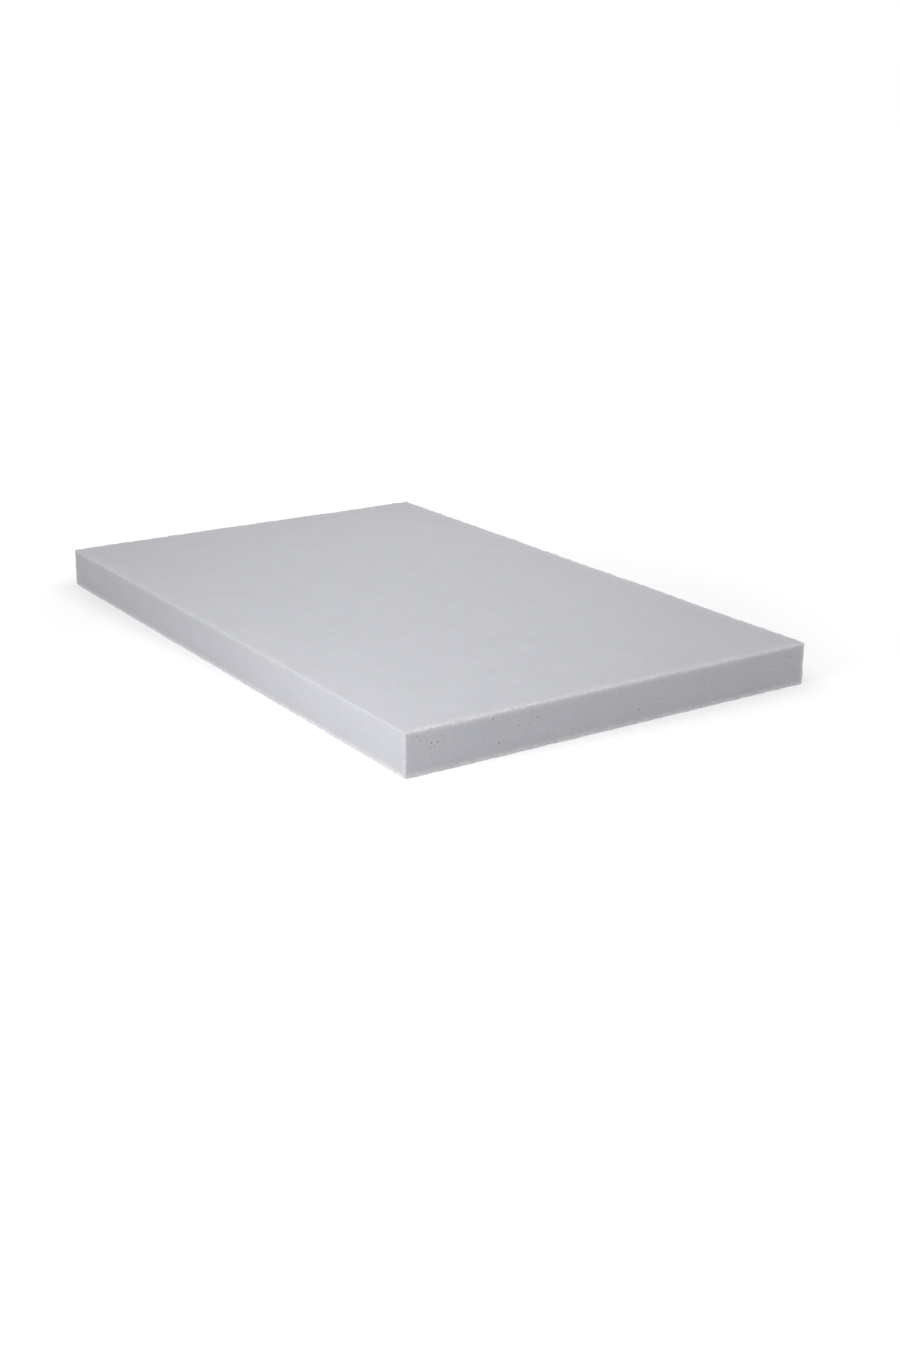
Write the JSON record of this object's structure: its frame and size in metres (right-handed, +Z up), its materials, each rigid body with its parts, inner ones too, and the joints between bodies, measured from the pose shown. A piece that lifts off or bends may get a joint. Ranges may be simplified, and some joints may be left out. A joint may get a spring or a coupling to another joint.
{
  "type": "foam sheet",
  "caption": "Flat rectangular slab of light grey flexible open-cell foam with square cut sides and softened arrises, for padding and lining.",
  "frame": {"origin": "centre of the underside, on the surface that the sheet lies on", "axes": "+X along the sheet's length, +Y across its width, +Z up through its thickness to the top face"},
  "size_m": [0.8, 0.5, 0.046],
  "materials": {
    "foam": "knife-cut open-cell flexible polyurethane foam, matt, light cool grey"
  },
  "bodies": {
    "root": {"foam_sheet": "foam"}
  },
  "joints": []
}
